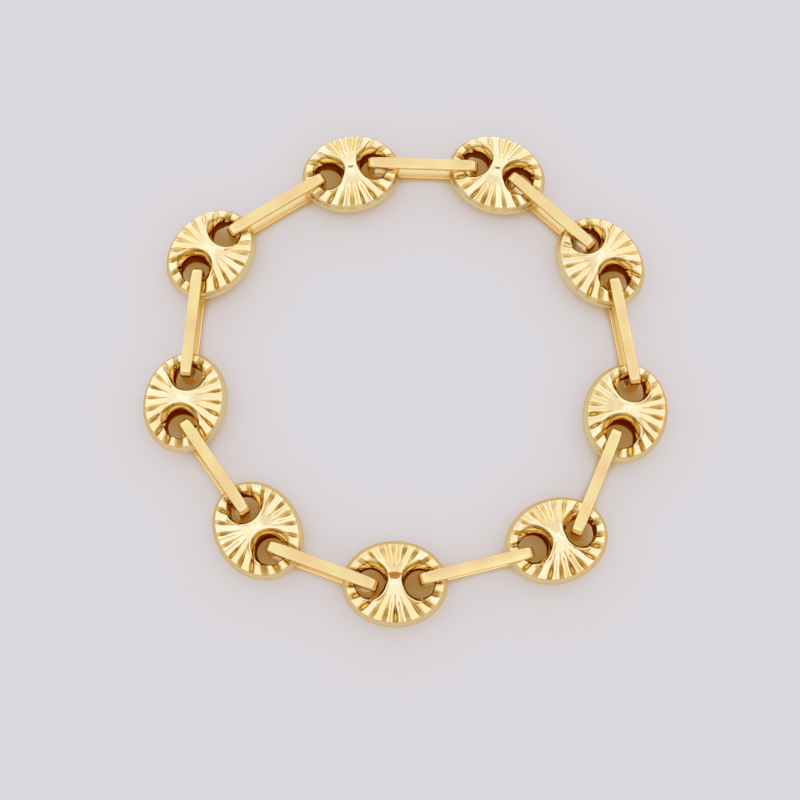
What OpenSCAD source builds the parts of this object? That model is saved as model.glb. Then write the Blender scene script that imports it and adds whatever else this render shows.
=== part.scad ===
/* [Puffed link] */
// Length of a puffed link over its smooth band
puffed_length = 4.14; // [4.08:0.02:4.2]
// Width of a puffed link over its smooth band
puffed_width = 3.38; // [3.3:0.02:3.46]
// Thickness of a puffed link at its crown
puffed_thick = 1.64; // [1.62:0.01:1.7]
// Thickness of a puffed link at the ends of its ribs
rim_thick = 0.82; // [0.76:0.02:0.84]
// Distance between the middles of its two holes
hole_spacing = 1.94; // [1.92:0.01:1.96]
// Diameter of the holes
hole_d = 1.16; // [1.14:0.01:1.18]
// How far the smooth band bulges past the ends of the ribs
band_bulge = 0.2; // [0.14:0.01:0.24]
// Height of the smooth band between the two fluted faces
band_height = 0.5; // [0.4:0.02:0.52]
// Number of ribs round a fluted face
rib_count = 20; // [16:2:22]
// Depth of the dents between the ribs, where they are deepest
dent_depth = 0.15; // [0.06:0.01:0.16]

/* [Long link] */
// Length of a long link over its ends
long_length = 4.6; // [4.56:0.01:4.62]
// Width of its flat wire, seen from above
wire_width = 0.45; // [0.4:0.01:0.46]
// Thickness of its flat wire, in the plane of the loop
wire_thick = 0.22; // [0.2:0.01:0.24]
// Radius of its outer corners
corner_r = 0.3; // [0.2:0.01:0.36]

/* [Hidden] */
LINKS = 9;
PUFFED = [for (i = [1:LINKS]) str("puffed_link_", i)];
LONG = [for (i = [1:LINKS]) str("long_link_", i)];

GOLD = [0.93, 0.76, 0.33];
PALE_GOLD = [0.96, 0.83, 0.48];

// Where each puffed link lies, clockwise from the upper left: across, up, and the heading
// from its back hole to its front hole in degrees
X = 0;
Y = 1;
HEADING = 2;
LAYOUT = [
    // x,    y,     heading
    [-2.05,  9.85,   13],
    [ 4.05,  9.80,  -23],
    [ 8.25,  5.95,  -56],
    [ 9.05, -0.45, -105],
    [ 6.15, -5.60, -161],
    [-0.20, -7.30,  179],
    [-5.60, -5.20,  123],
    [-8.65,  0.00,   83],
    [-7.80,  6.30,   52]
];

// How each long link lies between the front hole of its puffed link and the back hole of the
// next one: slid forwards, outwards of the hole's middle at its start and at its end, and the
// lean of its top bar outwards in degrees
SLIDE = 0;
OUT_START = 1;
OUT_END = 2;
LEAN = 3;
SEAT = [
    // slide, out_start, out_end, lean
    [-0.08,   0.10,  -0.16,  -7],
    [ 0.00,  -0.10,  -0.06,  -5],
    [-0.04,  -0.10,   0.14,   0],
    [ 0.08,  -0.16,  -0.10,  -3],
    [ 0.04,   0.16,  -0.14,   3],
    [-0.10,   0.10,  -0.06,  -2],
    [-0.14,   0.12,  -0.08,  -6],
    [-0.04,   0.06,  -0.16,   0],
    [-0.04,  -0.08,   0.00,  -5]
];

// A fluted face, ring by ring from the crown outwards: how far out along the ribs, and how
// much of the full dent depth is cut there
OUT = 0;
CUT = 1;
FLUTE_RINGS = [
    [0.22, 0.00],
    [0.48, 0.10],
    [0.80, 1.00],
    [0.94, 0.70]
];

// The smooth band, ring by ring down to its middle: share of the bulge, and of its height
BULGE = 0;
RISE = 1;
BAND_RINGS = [
    [0.00, 1.00],
    [0.72, 0.68],
    [1.00, 0.00]
];

crown_z = puffed_thick / 2;
edge_z = rim_thick / 2;
dome_power = 1.2;
face_a = puffed_length / 2 - band_bulge;
face_b = puffed_width / 2 - band_bulge;
ring_points = 3 * rib_count;
rib_swing = 1.7;
drill = 2 * puffed_thick;

// Centre of the whole loop, from the reach of its turned ovals
function reach(heading, along, across) =
    sqrt(pow(puffed_length / 2 * along, 2) + pow(puffed_width / 2 * across, 2));
function reach_x(p) = reach(p[HEADING], cos(p[HEADING]), sin(p[HEADING]));
function reach_y(p) = reach(p[HEADING], sin(p[HEADING]), cos(p[HEADING]));
centre_x = (max([for (p = LAYOUT) p[X] + reach_x(p)]) + min([for (p = LAYOUT) p[X] - reach_x(p)])) / 2;
centre_y = (max([for (p = LAYOUT) p[Y] + reach_y(p)]) + min([for (p = LAYOUT) p[Y] - reach_y(p)])) / 2;

// Distance from the middle of an oval to its edge, in the direction of an angle
function oval_r(a, b, angle) = a * b / sqrt(pow(b * cos(angle), 2) + pow(a * sin(angle), 2));

// Height of a rib's crest over the middle of the link, by how far out it is
function crest_z(out) = edge_z + (crown_z - edge_z) * (1 - pow(out, dome_power));

// Angle of a ring's point: two lie on each rib and one in the dent after it, and the ribs are
// a little closer together at the ends of the oval than at its sides
function point_angle(j) =
    let (even = 360 * (j + 0.5) / ring_points)
        even - rib_swing * sin(2 * even);

function cut_at(j, cut) = j % 3 == 1 ? cut * dent_depth : 0;

function flute_ring(row, side) = [
    for (j = [0:ring_points - 1])
        let (angle = point_angle(j), r = row[OUT] * oval_r(face_a, face_b, angle))
            [r * cos(angle), r * sin(angle), side * (crest_z(row[OUT]) - cut_at(j, row[CUT]))]
];

function band_ring(row, side) = [
    for (j = [0:ring_points - 1])
        let (grow = row[BULGE] * band_bulge, angle = point_angle(j))
            let (r = oval_r(face_a + grow, face_b + grow, angle))
                [r * cos(angle), r * sin(angle), side * row[RISE] * band_height / 2]
];

// Rings of the upper face, then of the lower one; both halves share the band's middle ring
function link_rings() = concat(
    [for (row = FLUTE_RINGS) flute_ring(row, 1)],
    [for (row = BAND_RINGS) band_ring(row, 1)],
    [for (k = [len(BAND_RINGS) - 2:-1:0]) band_ring(BAND_RINGS[k], -1)],
    [for (k = [len(FLUTE_RINGS) - 1:-1:0]) flute_ring(FLUTE_RINGS[k], -1)]
);

function flat(lists) = [for (list = lists) for (item = list) item];

module fluted_body() {
    rings = link_rings();
    n = ring_points;
    bottom = len(rings) * n + 1;
    points = concat([[0, 0, crown_z]], flat(rings), [[0, 0, -crown_z]]);
    top_fan = [for (j = [0:n - 1]) [0, 1 + (j + 1) % n, 1 + j]];
    bottom_fan = [for (j = [0:n - 1]) [bottom, bottom - n + j, bottom - n + (j + 1) % n]];
    upper = [
        for (k = [0:len(rings) - 2], j = [0:n - 1])
            [1 + k * n + j, 1 + k * n + (j + 1) % n, 1 + (k + 1) * n + (j + 1) % n]
    ];
    lower = [
        for (k = [0:len(rings) - 2], j = [0:n - 1])
            [1 + k * n + j, 1 + (k + 1) * n + (j + 1) % n, 1 + (k + 1) * n + j]
    ];
    polyhedron(points, concat(top_fan, upper, lower, bottom_fan), convexity = 6);
}

// One puffed link: a fluted pillow with two round holes, lying on its crown
module puffed_link(i) {
    place = LAYOUT[i];
    color(GOLD)
        translate([place[X] - centre_x, place[Y] - centre_y, crown_z])
            rotate([0, 0, place[HEADING]])
                difference() {
                    fluted_body();
                    for (side = [-1, 1])
                        translate([side * hole_spacing / 2, 0, 0])
                            cylinder(h = drill, d = hole_d, center = true, $fn = 48);
                }
}

// The middle of a puffed link's front hole (side 1) or back hole (side -1)
function hole_at(p, side) = [
    p[X] + side * hole_spacing / 2 * cos(p[HEADING]),
    p[Y] + side * hole_spacing / 2 * sin(p[HEADING])
];

// A rectangle with round corners
module round_rect(length, height, r) {
    square([length - 2 * r, height], center = true);
    square([length, height - 2 * r], center = true);
    for (x = [-1, 1], y = [-1, 1])
        translate([x * (length / 2 - r), y * (height / 2 - r)])
            circle(r = r, $fn = 48);
}

// The loop of flat wire, upright, with its middle at the origin
module wire_loop() {
    long_height = puffed_thick;
    inner_r = corner_r - wire_thick / 2;
    rotate([90, 0, 0])
        linear_extrude(wire_width, center = true)
            difference() {
                round_rect(long_length, long_height, corner_r);
                round_rect(long_length - 2 * wire_thick, long_height - 2 * wire_thick, inner_r);
            }
}

// One long link: it passes down the front hole of a puffed link and up the next one's back hole
module long_link(i) {
    seat = SEAT[i];
    front = hole_at(LAYOUT[i], 1);
    back = hole_at(LAYOUT[(i + 1) % LINKS], -1);
    line = back - front;
    ahead = line / norm(line);
    outwards = [-ahead[Y], ahead[X]];
    start = front + outwards * seat[OUT_START];
    end = back + outwards * seat[OUT_END];
    run = end - start;
    middle = (start + end) / 2 + ahead * seat[SLIDE];
    middle_z = puffed_thick / 2 * cos(seat[LEAN]) + wire_width / 2 * sin(abs(seat[LEAN]));
    color(PALE_GOLD)
        translate([middle[X] - centre_x, middle[Y] - centre_y, middle_z])
            rotate([0, 0, atan2(run[Y], run[X])])
                rotate([-seat[LEAN], 0, 0])
                    wire_loop();
}

for (i = [0:LINKS - 1]) puffed_link(i);
for (i = [0:LINKS - 1]) long_link(i);
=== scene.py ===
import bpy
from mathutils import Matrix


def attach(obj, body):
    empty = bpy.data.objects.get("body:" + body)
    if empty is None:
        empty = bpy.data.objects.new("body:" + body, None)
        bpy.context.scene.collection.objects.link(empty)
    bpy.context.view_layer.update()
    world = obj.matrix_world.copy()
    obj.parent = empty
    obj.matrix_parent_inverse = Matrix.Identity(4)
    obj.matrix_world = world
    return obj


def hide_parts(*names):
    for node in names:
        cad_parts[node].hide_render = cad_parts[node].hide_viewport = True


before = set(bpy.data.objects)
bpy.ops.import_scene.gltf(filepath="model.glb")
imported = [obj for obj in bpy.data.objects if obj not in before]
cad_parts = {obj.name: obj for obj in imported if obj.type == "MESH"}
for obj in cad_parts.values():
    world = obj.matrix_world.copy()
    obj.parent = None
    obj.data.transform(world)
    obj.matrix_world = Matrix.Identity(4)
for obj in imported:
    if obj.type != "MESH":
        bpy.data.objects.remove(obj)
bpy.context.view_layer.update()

import math

import bpy
import numpy as np
from mathutils import Matrix, Vector
from mathutils.geometry import delaunay_2d_cdt

MM = 0.001
LINKS = 9

# A puffed link, in millimetres from its own middle, with x from hole to hole, y across and z
# through its thickness: how far the smooth band bulges past the fluted face, the height of that
# face's rim, the places and radius of the holes, the bend of the dome, and the angle from which
# an edge is drawn sharp
BAND_BULGE = 0.165
RIM_Z = 0.41
HOLE_X = 0.97
HOLE_R = 0.58
DOME_POWER = 1.2
SHARP_EDGE = math.radians(50)

# How far out along the ribs: 0 is the middle of the link and 1 is the rim of the fluted face.
# The peak's radius, the drop beside it and where that ends, and the dip in each fan: its
# depth, how far out it is deepest, and how narrow it is
PEAK_R = 0.13
PEAK_DROP = 0.025
PEAK_ENDS = (0.15, 0.5)
DIP_DEPTH = 0.035
DIP_AT = 0.34
DIP_POWER = 1.5

# The dents between the ribs: their number in a turn, how much closer they lie at the ends of
# the oval than at its sides, how far each is off its place and half its width, in degrees,
# its depth, and how far out it starts
DENTS = 20
PITCH = 360 / DENTS
DENT_SWING = 1.7
DENT_ASIDE = 1.0
DENT_HALF_WIDTH = 4.2
DENT_DEPTH = 0.105
DENT_FROM = 0.33

# How the dents differ: shares of the width and of the depth, and what is added to the start
DENT_WIDTHS = (0.75, 1.2)
DENT_DEPTHS = (0.75, 1.1)
DENT_STARTS = (-0.08, 0.04)

# The leaf shape of a dent on its way out: its width at its start in shares of the full one, and
# where it widens; the length over which the first half of its depth comes, and where the other
# half does; and how much of its half width is as deep as its middle
START_WIDTH = 0.4
WIDENS = (0.5, 0.85)
START_LENGTH = 0.15
DEEPENS = (0.52, 0.86)
DENT_FLAT = 0.25

# The dents' depth on the near side of a link in shares of the full depth, which also sets how
# strong their painted shade is, and where the near side passes into the far side, on a scale
# from -1, nearest to the camera, to 1
NEAR_DEPTH = 1.1
NEAR_TO_FAR = (-0.2, 0.7)

# Where the dents close at the rim, and the width and depth that they lose there. Up to NEAREST,
# on the same scale, they lose only NEAREST_CLOSING of that
CLOSES = (0.88, 1.0)
CLOSED_WIDTH = 0.3
CLOSED_DEPTH = 0.4
NEAREST = (-0.8, -0.3)
NEAREST_CLOSING = 0.3

# The dents past the holes: how far from the middle of a fan, in degrees, how much wider they
# are, and their least depth
AT_END = (45, 75)
END_WIDER = 0.4
END_DEPTH = 1.0

# How far a rib falls from its crest to the dents, and how far out that sets in. How much the
# tones of the ribs differ, and how far from a dent, in degrees, and how far out that sets in
RIB_ROUND = 0.035
RIB_ROUNDS = (0.35, 0.8)
RIB_TONE = 0.3
TONE_ASIDE = (0.5, 3.5)
TONE_OUT = (0.25, 0.5)

# The thin line that splits a rib in the middle of a fan: half its width in degrees, where its
# sides rise in shares of that, its depth, the painted shade in it, how far from the middle of
# the fan it is found, in degrees, and how far out it starts
SPLIT_HALF_WIDTH = 1.7
SPLIT_SIDES = (0.2, 1.4)
SPLIT_DEPTH = 0.06
SPLIT_PAINTED_SHADE = 0.5
SPLIT_REACH = (16, 28)
SPLIT_FROM = (0.45, 0.62)

# The fluting of each link: which way its angles grow, seen from above, 1 for anticlockwise;
# how far that way the dents are turned from the middle of the fans, in degrees; how strongly a
# thin line splits the middle ribs of the fans; how deep the dents are on the far side in shares
# of the full depth; and the small pit beside the peak: how far beyond it, its size and the
# painted shade in it
WAY_ROUND = 0
SHIFT = 1
SPLIT = 2
FAR = 3
PIT_AT = 4
PIT_R = 5
PIT_PAINTED_SHADE = 6
FLUTING = [
    # way_round, shift, split, far, pit_at, pit_r, pit_painted_shade
    (1, 0.0, 1.0, 0.6, 0.03, 0.08, 1.0),
    (-1, -6.0, 0.8, 0.5, 0.02, 0.085, 1.0),
    (-1, -6.5, 0.3, 0.55, 0.0, 0.0, 0.0),
    (1, -7.5, 0.1, 0.8, 0.0, 0.0, 0.0),
    (-1, 3.5, 1.0, 0.85, 0.0, 0.0, 0.0),
    (1, -6.0, 1.0, 0.9, 0.25, 0.18, 1.85),
    (-1, -4.0, 0.5, 0.95, 0.0, 0.0, 0.0),
    (-1, 6.0, 0.1, 0.9, 0.0, 0.0, 0.0),
    (1, 6.0, 0.2, 0.6, 0.0, 0.0, 0.0),
]

# The pit: its length away from the camera and its width, in shares of its size, how much wider
# it is at its far end, its depth where its size is PIT_NORMAL, the share of it from which its
# painted shade shows, and the size that stands for no pit
PIT_LONG = 0.75
PIT_WIDE = 1.3
PIT_FLARE = 0.25
PIT_DEPTH = 0.025
PIT_NORMAL = 0.12
PIT_EDGE = 0.4
NO_PIT = 0.001

# The edge of a hole, away from the middle of the link, to its sides and towards the middle:
# how far the funnel reaches out from the hole, how deep it goes, and how high the ridge at its
# rim stands. The power bends its slope, from flat at the rim to steep at the hole. On the near
# side of a hole it is narrower and on the far side wider: where these are, and by what shares
FUNNEL_SIDES = (0, 0.5, 1)
FUNNEL_WIDE = (0.08, 0.27, 0.17)
FUNNEL_DEEP = (0.12, 0.18, 0.20)
RIDGE_HIGH = (0.0, 0.03, 0.04)
RIDGE_WIDE = 0.06
FUNNEL_POWER = 1.8
FUNNEL_FACING = (-0.3, 0.5)
FUNNEL_NEAR_FAR = (0.6, 1.35)

# How far the wall of a hole swells out between its two edges
CAVITY = 0.05

# The smooth band from the ends of the ribs to the link's middle plane: how far outside the
# fluted face, and how high. The fluted face comes no lower than FACE_LOWEST
BAND_PROFILE = [
    (0.022, 0.272),
    (0.045, 0.240),
    (0.075, 0.194),
    (0.105, 0.144),
    (0.130, 0.094),
    (0.150, 0.046),
    (0.160, 0.014),
    (0.163, 0.000),
]
FACE_LOWEST = BAND_PROFILE[0][1] - 0.01

# The gold's colour by a number called its depth, which paints light and shade: from the painted
# highlight on the peak and ridges, over the painted shade in the dents, to the painted shade on
# the walls of the holes, and its colour at a grazing angle, darker there as painted shade. Then
# the depths of the painted highlight on the peak, of the painted shade on the smooth band, in the
# funnels at the holes and on the holes' walls, how far the painted highlight reaches from the
# peak's middle, and the depth of a hollow in which it is gone
GOLD_AND_PAINTED_LIGHT_STOPS = [
    (-0.4, (1.00, 0.93, 0.70)),
    (0.0, (0.96, 0.81, 0.48)),
    (0.5, (0.94, 0.77, 0.42)),
    (1.0, (0.41, 0.23, 0.04)),
    (1.2, (0.94, 0.66, 0.16)),
    (1.6, (0.72, 0.38, 0.07)),
    (2.0, (0.34, 0.13, 0.04)),
]
GRAZING_AND_PAINTED_SHADE_STOPS = [(1.6, (1.0, 0.72, 0.32)), (2.0, (0.50, 0.23, 0.08))]
PAINTED_HIGHLIGHT = -0.4
BAND_PAINTED_SHADE = 0.55
FUNNEL_PAINTED_SHADE = 1.5
HOLE_PAINTED_SHADE = 2.0
HIGHLIGHT_R = 0.2
HIGHLIGHT_ENDS = 0.3

# The gold's roughness from its smoothest to its roughest spots, the noises of its polish and
# its grain, each with its scale per metre and its detail, and the grain's strength and height
GOLD_ROUGH = (0.08, 0.18)
POLISH_NOISE = (2500, 2.0)
GRAIN_NOISE = (4000, 3.0)
GRAIN_STRENGTH = 0.4
GRAIN_HIGH = 0.03 * MM

# Rings of points over a fluted face: from how far out, the gap to the next ring, and points
# in a ring. Closer rings go round each hole, LIP_GAP apart, and others down its wall. Points
# that are closer together than MERGE_GAP would be merged
RING_STEPS = [
    (0.02, 0.02, 24),
    (0.10, 0.03, 60),
    (0.22, 0.03, 240),
    (0.37, 0.022, 480),
    (0.88, 0.0135, 480),
]
LIP_GAP = 0.0115
LIP_RINGS = 19
LIP_POINTS = 112
TUBE_RINGS = 9
MERGE_GAP = 1e-7

# A long link, in millimetres: the wire's thickness, the loop's outer corners, and the wire's
# rounded edges on its bars and, rounder, at its ends, which start END_REACH before the corners
WIRE_THICK = 0.22
CORNER_R = 0.3
EDGE_R = 0.035
END_EDGE_R = 0.095
END_REACH = 0.25

# Steps along the long and short bars of the loop, round its corners and round the wire's edges
BAR_STEPS = (24, 6)
CORNER_STEPS = 10
EDGE_STEPS = 4

# The corners of a rectangle, anticlockwise
QUARTERS = [(1, 1), (-1, 1), (-1, -1), (1, -1)]

# The wire's colour outside its loop, in clouds from peach to pale yellow, and their noise, with
# its scale per metre and its detail. The colour inside the loop, paler as painted light against
# the loop's shade there, and at a grazing angle
WIRE_STOPS = [(0.35, (0.95, 0.70, 0.36)), (0.65, (1.00, 0.84, 0.42))]
CLOUD_NOISE = (800, 1.0)
WIRE_INSIDE_PAINTED_LIGHT = (1.0, 0.83, 0.45)
WIRE_GRAZING = (1.0, 0.72, 0.32)

# The wire's fine drawn lines: how they are stretched along it, the scale and detail of their
# noise, their strength and height, and the roughness from the smoothest to the roughest lines
LINE_STRETCH = (0.25, 4.0, 4.0)
LINE_NOISE = (2.0, 4.0)
LINE_STRENGTH = 0.06
LINE_HIGH = 0.012 * MM
WIRE_ROUGH = (0.22, 0.30)


def cad_axes(node):
    """Middle, axes by falling length, their signs free, and half sizes of a CAD link."""
    points = np.array([v.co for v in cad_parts[node].data.vertices])
    points = np.unique(points.round(7), axis=0)
    middle = (points.min(0) + points.max(0)) / 2
    axes = np.linalg.svd(points - points.mean(0), full_matrices=False)[2]
    along = (points - middle) @ axes.T
    order = np.argsort(along.min(0) - along.max(0))
    axes, along = axes[order], along[:, order]
    middle = middle + (along.min(0) + along.max(0)) / 2 @ axes
    return middle, axes, (along.max(0) - along.min(0)) / 2


def set_signs(axes, way_round):
    """Points x to the right in the scene, and y so that angles grow the given way round."""
    axes[0] *= np.sign(axes[0, 0])
    axes[1] *= np.sign(axes[1, 1]) * way_round


def oval_r(a, b, angle):
    """Distance from the middle of an oval to its edge, in the direction of an angle."""
    return a * b / np.hypot(b * np.cos(angle), a * np.sin(angle))


def smooth_step(low, high, value):
    share = np.clip((value - low) / (high - low), 0, 1)
    return share * share * (3 - 2 * share)


def plan_points(a, b):
    """Points of a fluted face in plan: rings of an oval, and closer rings round its holes."""
    points = [(0.0, 0.0)]
    for k, (start, gap, count) in enumerate(RING_STEPS):
        end = RING_STEPS[k + 1][0] if k + 1 < len(RING_STEPS) else 1.0
        for out in np.arange(start, end - gap / 2, gap):
            points += ring_points(a, b, out, count)
    clear = LIP_GAP * LIP_RINGS
    points = [p for p in points if hole_gap(*p) > clear]
    rim = ring_points(a, b, 1.0, RING_STEPS[-1][2])
    lips = []
    for side in (-1, 1):
        for ring in range(LIP_RINGS):
            r = HOLE_R + LIP_GAP * ring
            for k in range(LIP_POINTS):
                angle = 2 * math.pi * (k + ring % 2 / 2) / LIP_POINTS
                lips.append((side * HOLE_X + r * math.cos(angle), r * math.sin(angle)))
    return lips, rim, points


def ring_points(a, b, out, count):
    angles = 2 * np.pi * np.arange(count) / count
    r = out * oval_r(a, b, angles)
    return list(zip(r * np.cos(angles), r * np.sin(angles)))


def hole_gap(x, y):
    """Distance in plan to the edge of the nearer hole."""
    return np.hypot(np.abs(x) - HOLE_X, y) - HOLE_R


def plan_mesh(a, b):
    """One triangulation in plan for both faces of every puffed link."""
    lips, rim, points = plan_points(a, b)
    plan = lips + rim + points
    first_rim = len(lips)
    edges = [(first_rim + k, first_rim + (k + 1) % len(rim)) for k in range(len(rim))]
    holes = []
    for side in range(2):
        start = side * LIP_POINTS * LIP_RINGS
        loop = [start + k for k in range(LIP_POINTS)]
        holes.append(loop)
        edges += [(loop[k], loop[(k + 1) % LIP_POINTS]) for k in range(LIP_POINTS)]
    made = delaunay_2d_cdt([Vector(p) for p in plan], edges, [], 0, MERGE_GAP)
    xy = np.array(plan)
    triangles = np.array(made[2])
    if len(made[0]) != len(plan):
        raise ValueError("the triangulation merged or added points")
    middle = xy[triangles].mean(1)
    triangles = triangles[hole_gap(middle[:, 0], middle[:, 1]) > 0]
    ends = xy[triangles]
    u, v = ends[:, 1] - ends[:, 0], ends[:, 2] - ends[:, 0]
    triangles = np.where(
        (u[:, 0] * v[:, 1] - u[:, 1] * v[:, 0] > 0)[:, None], triangles, triangles[:, ::-1]
    )
    return xy, triangles, holes, list(range(first_rim, first_rim + len(rim)))


def dent_cut(angle, out, fluting, facing, draw):
    """How deep the dents cut, the share of their full depth with the split lines added, which
    sets the painted shade in them, and the tone of the ribs.
    """
    degrees = np.degrees(angle)
    turn = (degrees + DENT_SWING * np.sin(2 * angle) - fluting[SHIFT]) / PITCH + 0.5
    nearest = np.round(turn).astype(int) % DENTS
    aside = draw.uniform(-DENT_ASIDE, DENT_ASIDE, DENTS)[nearest]
    wider = draw.uniform(*DENT_WIDTHS, DENTS)[nearest]
    deeper = draw.uniform(*DENT_DEPTHS, DENTS)[nearest]
    starts = draw.uniform(*DENT_STARTS, DENTS)[nearest] + DENT_FROM
    tone = draw.uniform(-RIB_TONE, RIB_TONE, DENTS)[np.floor(turn).astype(int) % DENTS]

    off = np.abs((turn - np.round(turn)) * PITCH - aside)
    from_fan = np.abs(np.abs(degrees) - 90)
    at_end = smooth_step(*AT_END, from_fan)
    wider *= 1 + END_WIDER * at_end
    deeper *= np.interp(facing, NEAR_TO_FAR, (NEAR_DEPTH, fluting[FAR]))
    deeper = np.maximum(deeper, at_end * END_DEPTH)
    closing = smooth_step(*CLOSES, out) * np.interp(facing, NEAREST, (NEAREST_CLOSING, 1.0))
    width = START_WIDTH + (1 - START_WIDTH) * smooth_step(*WIDENS, out) - CLOSED_WIDTH * closing
    half = DENT_HALF_WIDTH * wider * width
    across = 1 - smooth_step(DENT_FLAT, 1, off / half)
    along = (smooth_step(0, START_LENGTH, out - starts) + smooth_step(*DEEPENS, out)) / 2
    dent = across * (along - CLOSED_DEPTH * closing) * deeper

    hump = 0.5 + 0.5 * np.cos(2 * np.pi * off / PITCH)
    round_off = RIB_ROUND * hump * (smooth_step(*RIB_ROUNDS, out) - CLOSED_DEPTH * closing)
    from_crest = (PITCH / 2 - off) / SPLIT_HALF_WIDTH
    split = fluting[SPLIT] * (1 - smooth_step(*SPLIT_SIDES, from_crest))
    split *= (1 - smooth_step(*SPLIT_REACH, from_fan)) * smooth_step(*SPLIT_FROM, out)
    cut = DENT_DEPTH * dent + round_off + SPLIT_DEPTH * split
    tone *= smooth_step(*TONE_ASIDE, off) * smooth_step(*TONE_OUT, out)
    # The second value sets the painted shade in the dents and the split lines
    return cut, dent + SPLIT_PAINTED_SHADE * split, tone


def funnel(x, y, beyond):
    """How far a hole's edge lifts the face, and how much a point is in its funnel and ridge."""
    gap = np.maximum(hole_gap(x, y), 0)
    off_x = x - np.sign(x) * HOLE_X
    towards = (1 - np.sign(x) * off_x / (gap + HOLE_R)) / 2
    wide, deep, high = (
        np.interp(towards, FUNNEL_SIDES, values)
        for values in (FUNNEL_WIDE, FUNNEL_DEEP, RIDGE_HIGH)
    )
    past_hole = (off_x * beyond[0] + y * beyond[1]) / (gap + HOLE_R)
    wide = wide * np.interp(past_hole, FUNNEL_FACING, FUNNEL_NEAR_FAR)
    inside = np.clip(1 - gap / wide, 0, 1)
    ridge = high * np.exp(-(((gap - wide) / RIDGE_WIDE) ** 2))
    return ridge - deep * inside**FUNNEL_POWER, inside, ridge / RIDGE_HIGH[-1]


def pit_share(x, y, beyond, fluting):
    """How much a point is in the small pit beside the peak."""
    size = max(fluting[PIT_R], NO_PIT)
    out = (x * beyond[0] + y * beyond[1] - fluting[PIT_AT]) / (PIT_LONG * size)
    aside = (x * beyond[1] - y * beyond[0]) / (PIT_WIDE * size)
    aside /= 1 + PIT_FLARE * np.clip(out, -1, 1)
    return np.exp(-((out**4 + aside**4) ** 2))


def lift(xy, a, b, crown_z, fluting, beyond, draw):
    """A fluted face over its plan: the moved points, and the depth of each in the gold's range,
    which sets its painted highlight and painted shade.

    The direction away from the camera is beyond."""
    x, y = xy[:, 0], xy[:, 1]
    angle = np.arctan2(y, x)
    around = np.hypot(x, y)
    out = around / oval_r(a, b, angle)
    facing = (x * beyond[0] + y * beyond[1]) / np.maximum(around, PEAK_R)
    dome = RIM_Z + (crown_z - RIM_Z) * (1 - out**DOME_POWER)
    drop = PEAK_DROP * (1 - np.exp(-((around / PEAK_R) ** 2)))
    drop *= 1 - smooth_step(*PEAK_ENDS, out)
    dip = out / DIP_AT * np.exp(1 - out / DIP_AT) * np.abs(np.sin(angle))
    dip = DIP_DEPTH * dip**DIP_POWER
    cut, dent, tone = dent_cut(angle, out, fluting, facing, draw)
    edge, inside, ridge = funnel(x, y, beyond)
    pit = pit_share(x, y, beyond, fluting)
    pit_depth = PIT_DEPTH * fluting[PIT_R] / PIT_NORMAL
    z = dome - drop - dip - cut - pit_depth * pit + edge
    z = np.clip(z, FACE_LOWEST, crown_z)

    # Painted highlight, paler on the peak and along the ridges at the holes, mixed with the ribs'
    # own tones
    highlight_and_tone = PAINTED_HIGHLIGHT * np.maximum(np.exp(-((around / HIGHLIGHT_R) ** 2)), ridge)
    highlight_and_tone = np.where(tone < 0, np.minimum(highlight_and_tone, tone), highlight_and_tone + tone)
    # Painted shade in the funnels round the holes, or the dents' painted shade where that is
    # deeper
    hollow = np.maximum(dent, FUNNEL_PAINTED_SHADE * inside**0.5)
    # Painted shade in the pit beside the peak
    hollow = np.where(pit > PIT_EDGE, fluting[PIT_PAINTED_SHADE], hollow)
    depth = highlight_and_tone * (1 - smooth_step(0, HIGHLIGHT_ENDS, hollow)) + hollow
    return np.column_stack([x, y, z]), depth


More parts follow.
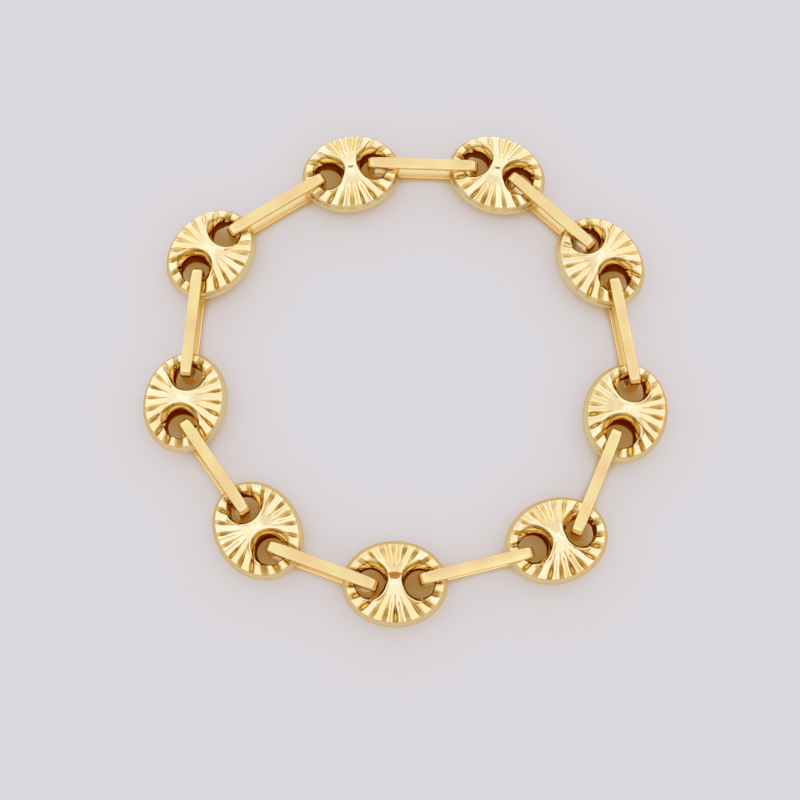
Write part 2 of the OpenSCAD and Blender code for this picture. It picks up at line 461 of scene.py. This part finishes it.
def puffed_mesh(name, plan, half, fluting, beyond, draw):
    """A closed mesh of one puffed link, in millimetres round its own middle."""
    xy, triangles, holes, rim = plan
    a, b = half[0] - BAND_BULGE, half[1] - BAND_BULGE
    count = len(xy)
    top, depth_top = lift(xy, a, b, half[2], fluting, beyond, draw)
    under, depth_under = lift(xy, a, b, half[2], fluting, beyond, draw)
    under[:, 2] *= -1
    points = [top, under]
    depth = [depth_top, depth_under]
    faces = [triangles, triangles[:, ::-1] + count]
    total = 2 * count

    def wall(upper, lower, rings, shades):
        nonlocal total
        loops = [np.array(upper)]
        for ring, shade in zip(rings, shades):
            points.append(ring)
            depth.append(np.full(len(ring), shade))
            loops.append(total + np.arange(len(ring)))
            total += len(ring)
        loops.append(np.array(lower))
        for one, two in zip(loops, loops[1:]):
            quads = [one, np.roll(one, -1), np.roll(two, -1), two]
            quads = np.column_stack(quads)
            faces.append(quads[:, [0, 2, 1]])
            faces.append(quads[:, [0, 3, 2]])

    angles = np.arctan2(xy[rim, 1], xy[rim, 0])
    profile = BAND_PROFILE + [(grow, -z) for grow, z in BAND_PROFILE[-2::-1]]
    rings = []
    for grow, z in profile:
        r = oval_r(a + grow, b + grow, angles)
        rings.append(np.column_stack([r * np.cos(angles), r * np.sin(angles), np.full(len(r), z)]))
    # The band takes painted shade, a darker gold for the link's side
    wall(rim, np.array(rim) + count, rings, [BAND_PAINTED_SHADE] * len(rings))
    # The holes' walls take painted shade, dark red-brown
    for loop in holes:
        high, low = top[loop], under[loop]
        side = math.copysign(HOLE_X, xy[loop[0], 0])
        rings, shades = [], []
        for k in range(1, TUBE_RINGS + 1):
            share = k / (TUBE_RINGS + 1)
            ring = high + (low - high) * share
            swell = 1 + CAVITY / HOLE_R * math.sin(math.pi * share)
            ring[:, 0] = side + (ring[:, 0] - side) * swell
            ring[:, 1] *= swell
            rings.append(ring[::-1])
            shades.append(HOLE_PAINTED_SHADE)
        wall(loop[::-1], (np.array(loop) + count)[::-1], rings, shades)
    mesh = new_mesh(name, np.vstack(points).tolist(), np.vstack(faces).tolist())
    mesh.set_sharp_from_angle(angle=SHARP_EDGE)
    depths = mesh.attributes.new("depth", "FLOAT", "POINT")
    depths.data.foreach_set("value", np.concatenate(depth))
    return mesh


def new_mesh(name, points, faces):
    mesh = bpy.data.meshes.new(name)
    mesh.from_pydata(points, [], faces)
    mesh.shade_smooth()
    return mesh


def wire_section(half_width, edge):
    """The flat wire's cross-section, with round edges: across it, and out from its middle."""
    section = []
    for k, (su, sv) in enumerate(QUARTERS):
        for step in range(EDGE_STEPS + 1):
            angle = math.pi / 2 * (k + step / EDGE_STEPS)
            u = su * (half_width - edge) + edge * math.cos(angle)
            v = sv * (WIRE_THICK / 2 - edge) + edge * math.sin(angle)
            section.append((u, v))
    return section


def wire_path(half):
    """Steps round the loop: points set in by the corners' radius, and the angle outwards."""
    path = []
    reach_x, reach_y = half[0] - CORNER_R, half[1] - CORNER_R
    for k, (sx, sy) in enumerate(QUARTERS):
        for step in range(CORNER_STEPS + 1):
            angle = math.pi / 2 * (k + step / CORNER_STEPS)
            path.append((sx * reach_x, sy * reach_y, angle))
        nx, ny = QUARTERS[(k + 1) % 4]
        steps = BAR_STEPS[k % 2]
        for step in range(1, steps):
            share = step / steps
            along_x = sx * reach_x + (nx - sx) * reach_x * share
            along_y = sy * reach_y + (ny - sy) * reach_y * share
            path.append((along_x, along_y, math.pi / 2 * (k + 1)))
    return path


def long_mesh(name, half):
    """A closed mesh of one long link: x along it, y up through its loop, z across the wire."""
    middle_r = CORNER_R - WIRE_THICK / 2
    path = wire_path(half)
    points, places = [], []
    walked = 0.0
    for i, (x, y, angle) in enumerate(path):
        near_end = smooth_step(half[0] - CORNER_R - END_REACH, half[0] - CORNER_R, abs(x))
        edge = EDGE_R + (END_EDGE_R - EDGE_R) * near_end
        section = wire_section(half[2], edge)
        for u, v in section:
            out = middle_r + v
            points.append((x + out * math.cos(angle), y + out * math.sin(angle), u))
            places.append((walked, u, v))
        ahead = path[(i + 1) % len(path)]
        walked += math.hypot(ahead[0] - x, ahead[1] - y) + middle_r * abs(ahead[2] - angle)
    n, m = len(section), len(path)
    faces = [
        (i * n + j, i * n + (j + 1) % n, (i + 1) % m * n + (j + 1) % n, (i + 1) % m * n + j)
        for i in range(m)
        for j in range(n)
    ]
    mesh = new_mesh(name, points, faces)
    place_on_wire = mesh.attributes.new("wire_place", "FLOAT_VECTOR", "POINT")
    place_on_wire.data.foreach_set("vector", [value for place in places for value in place])
    return mesh


def place(name, mesh, node, middle, axes, slot, material):
    """Puts a mesh made in millimetres where its CAD link is, and makes it stand for it."""
    if np.linalg.det(axes) < 0:
        axes = axes * [[1], [1], [-1]]
    turn = Matrix(axes.T.tolist()).to_4x4()
    mesh.transform(Matrix.Translation(middle) @ turn @ Matrix.Scale(MM, 4))
    mesh.materials.append(material)
    piece = bpy.data.objects.new(name, mesh)
    bpy.context.scene.collection.objects.link(piece)
    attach(piece, "root")
    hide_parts(node)


def node_tree(material):
    material.use_nodes = True
    nodes, links = material.node_tree.nodes, material.node_tree.links
    return nodes, links, nodes["Principled BSDF"]


def noise(nodes, links, coordinates, scale, detail):
    texture = nodes.new("ShaderNodeTexNoise")
    texture.inputs["Scale"].default_value = scale
    texture.inputs["Detail"].default_value = detail
    links.new(coordinates, texture.inputs["Vector"])
    return texture.outputs["Fac"]


def ramp(nodes, links, value, stops):
    """A colour by a value, from the first of the stops to the last."""
    low, high = stops[0][0], stops[-1][0]
    made = nodes.new("ShaderNodeValToRGB")
    elements = made.color_ramp.elements
    while len(elements) < len(stops):
        elements.new(0.5)
    for element, (at, colour) in zip(elements, stops):
        element.position = (at - low) / (high - low)
        element.color = (*colour, 1)
    links.new(to_range(nodes, links, value, (low, high), (0, 1)), made.inputs["Fac"])
    return made.outputs["Color"]


def bump(nodes, links, height, strength, distance, shader):
    made = nodes.new("ShaderNodeBump")
    made.inputs["Strength"].default_value = strength
    made.inputs["Distance"].default_value = distance
    links.new(height, made.inputs["Height"])
    links.new(made.outputs["Normal"], shader.inputs["Normal"])


def to_range(nodes, links, value, from_range, to):
    """A value of one range moved to the other, and held inside it."""
    made = nodes.new("ShaderNodeMapRange")
    made.inputs["From Min"].default_value = from_range[0]
    made.inputs["From Max"].default_value = from_range[1]
    made.inputs["To Min"].default_value = to[0]
    made.inputs["To Max"].default_value = to[1]
    links.new(value, made.inputs["Value"])
    return made.outputs["Result"]


def fluted_gold():
    """Polished gold with painted shade, browner in its dents and funnels and red-brown on the
    walls of its holes, and a painted highlight on its peak and ridges.
    """
    material = bpy.data.materials.new("fluted_gold")
    nodes, links, shader = node_tree(material)
    shader.inputs["Metallic"].default_value = 1.0
    where = nodes.new("ShaderNodeTexCoord").outputs["Object"]
    depth = nodes.new("ShaderNodeAttribute")
    depth.attribute_name = "depth"
    # Painted highlight and painted shade, by the depth attribute
    colour = ramp(nodes, links, depth.outputs["Fac"], GOLD_AND_PAINTED_LIGHT_STOPS)
    grazing = ramp(nodes, links, depth.outputs["Fac"], GRAZING_AND_PAINTED_SHADE_STOPS)
    links.new(colour, shader.inputs["Base Color"])
    links.new(grazing, shader.inputs["Specular Tint"])
    polish = noise(nodes, links, where, *POLISH_NOISE)
    rough = to_range(nodes, links, polish, (0, 1), GOLD_ROUGH)
    links.new(rough, shader.inputs["Roughness"])
    grain = noise(nodes, links, where, *GRAIN_NOISE)
    bump(nodes, links, grain, GRAIN_STRENGTH, GRAIN_HIGH, shader)
    return material


def wire_gold():
    """Pale flat wire with fine drawn lines along it, painted paler on the inside of its loop as
    painted light against the shade there.
    """
    material = bpy.data.materials.new("wire_gold")
    nodes, links, shader = node_tree(material)
    shader.inputs["Metallic"].default_value = 1.0
    shader.inputs["Specular Tint"].default_value = (*WIRE_GRAZING, 1)
    on_wire = nodes.new("ShaderNodeAttribute")
    on_wire.attribute_name = "wire_place"
    stretch = nodes.new("ShaderNodeVectorMath")
    stretch.operation = "MULTIPLY"
    stretch.inputs[1].default_value = LINE_STRETCH
    links.new(on_wire.outputs["Vector"], stretch.inputs[0])
    lines = noise(nodes, links, stretch.outputs["Vector"], *LINE_NOISE)
    where = nodes.new("ShaderNodeTexCoord").outputs["Object"]
    cloud = noise(nodes, links, where, *CLOUD_NOISE)
    parts = nodes.new("ShaderNodeSeparateXYZ")
    links.new(on_wire.outputs["Vector"], parts.inputs["Vector"])
    # Painted light: the inner side of the loop is made paler
    inner_side = (-WIRE_THICK / 2, -WIRE_THICK / 4)
    inside = to_range(nodes, links, parts.outputs["Z"], inner_side, (1, 0))
    colour = nodes.new("ShaderNodeMix")
    colour.data_type = "RGBA"
    links.new(inside, colour.inputs["Factor"])
    links.new(ramp(nodes, links, cloud, WIRE_STOPS), colour.inputs["A"])
    colour.inputs["B"].default_value = (*WIRE_INSIDE_PAINTED_LIGHT, 1)
    links.new(colour.outputs["Result"], shader.inputs["Base Color"])
    rough = to_range(nodes, links, lines, (0, 1), WIRE_ROUGH)
    links.new(rough, shader.inputs["Roughness"])
    bump(nodes, links, lines, LINE_STRENGTH, LINE_HIGH, shader)
    return material


def build_ring():
    gold, wire = fluted_gold(), wire_gold()
    plan = None
    for i in range(1, LINKS + 1):
        node = f"puffed_link_{i}"
        fluting = FLUTING[i - 1]
        middle, axes, half = cad_axes(node)
        set_signs(axes, fluting[WAY_ROUND])
        half = half / MM
        if plan is None:
            plan = plan_mesh(half[0] - BAND_BULGE, half[1] - BAND_BULGE)
        draw = np.random.default_rng(i)
        beyond = axes[:2, 1]
        mesh = puffed_mesh(f"fluted_{node}", plan, half, fluting, beyond, draw)
        place(f"fluted_{node}", mesh, node, middle, axes, "fluted_gold", gold)
    for i in range(1, LINKS + 1):
        node = f"long_link_{i}"
        middle, axes, half = cad_axes(node)
        mesh = long_mesh(f"flat_{node}", half / MM)
        place(f"flat_{node}", mesh, node, middle, axes, "wire_gold", wire)


# The camera: the point that it looks at, where it stands from there, and its focal length and
# image width in pixels
TARGET = Vector((-0.211, -1.286, 1.25)) * MM
CAMERA_DISTANCE = 57.6 * MM
CAMERA_ELEVATION = math.radians(76)
FOCAL_PIXELS = 1440
IMAGE_PIXELS = 800
SENSOR = 36.0

# The floor: half its width in metres, its colour and roughness, and the painted light that it
# glows with by how open it is to the room within SHADE_REACH, a painted shadow dimmer near the
# gold and brown inside the holes
FLOOR_REACH = 3.0
FLOOR_COLOUR = (0.12, 0.13, 0.15)
FLOOR_ROUGH = 0.6
SHADE_REACH = 3 * MM
FLOOR_PAINTED_GLOW = [
    (0.00, (0.25, 0.12, 0.005)),
    (0.22, (0.33, 0.165, 0.02)),
    (0.36, (0.43, 0.29, 0.16)),
    (0.50, (0.53, 0.45, 0.41)),
    (0.75, (0.562, 0.505, 0.496)),
    (1.00, (0.572, 0.545, 0.572)),
]

# The light's colour by how far its direction lies along an axis that leans to the back: bright
# high up, a little dimmer near the axis, dim and brown low down, golden below the horizon
LIGHT_AXIS = (-0.07, 0.35, 0.93)
LIGHT_STOPS = [
    (-0.30, (1.00, 0.88, 0.60)),
    (-0.05, (0.86, 0.70, 0.42)),
    (0.08, (0.42, 0.29, 0.12)),
    (0.26, (0.50, 0.38, 0.20)),
    (0.38, (0.84, 0.76, 0.64)),
    (0.50, (1.06, 1.02, 0.97)),
    (0.70, (1.07, 1.07, 1.09)),
    (0.86, (1.07, 1.08, 1.12)),
    (0.93, (0.95, 0.93, 0.92)),
    (0.965, (0.84, 0.82, 0.80)),
    (1.00, (0.97, 0.95, 0.91)),
]


def add_camera():
    data = bpy.data.cameras.new("camera")
    data.sensor_width = SENSOR
    data.lens = SENSOR * FOCAL_PIXELS / IMAGE_PIXELS
    data.clip_start = 2 * MM
    camera = bpy.data.objects.new("camera", data)
    bpy.context.scene.collection.objects.link(camera)
    back = Vector((0, -math.cos(CAMERA_ELEVATION), math.sin(CAMERA_ELEVATION)))
    camera.location = TARGET + back * CAMERA_DISTANCE
    camera.rotation_euler = (-back).to_track_quat("-Z", "Y").to_euler()
    bpy.context.scene.camera = camera


def add_floor():
    mesh = bpy.data.meshes.new("floor")
    corners = [(x * FLOOR_REACH, y * FLOOR_REACH, 0) for x, y in QUARTERS]
    mesh.from_pydata(corners, [], [(0, 1, 2, 3)])
    material = bpy.data.materials.new("floor")
    nodes, links, shader = node_tree(material)
    # The floor glows with painted light, with painted shadow where the room is hidden from it
    around = nodes.new("ShaderNodeAmbientOcclusion")
    around.inputs["Distance"].default_value = SHADE_REACH
    painted_glow = ramp(nodes, links, around.outputs["AO"], FLOOR_PAINTED_GLOW)
    links.new(painted_glow, shader.inputs["Emission Color"])
    shader.inputs["Base Color"].default_value = (*FLOOR_COLOUR, 1)
    shader.inputs["Emission Strength"].default_value = 1.0
    shader.inputs["Roughness"].default_value = FLOOR_ROUGH
    mesh.materials.append(material)
    floor = bpy.data.objects.new("floor", mesh)
    bpy.context.scene.collection.objects.link(floor)


def add_light():
    """Soft light from all round: a wide bright hood over the ring, dim low down."""
    world = bpy.data.worlds.new("world")
    world.use_nodes = True
    nodes, links = world.node_tree.nodes, world.node_tree.links
    direction = nodes.new("ShaderNodeTexCoord").outputs["Generated"]
    along = nodes.new("ShaderNodeVectorMath")
    along.operation = "DOT_PRODUCT"
    along.inputs[1].default_value = LIGHT_AXIS
    links.new(direction, along.inputs[0])
    colour = ramp(nodes, links, along.outputs["Value"], LIGHT_STOPS)
    links.new(colour, nodes["Background"].inputs["Color"])
    bpy.context.scene.world = world


build_ring()
add_floor()
add_light()
add_camera()
bpy.context.scene.view_settings.view_transform = "Standard"
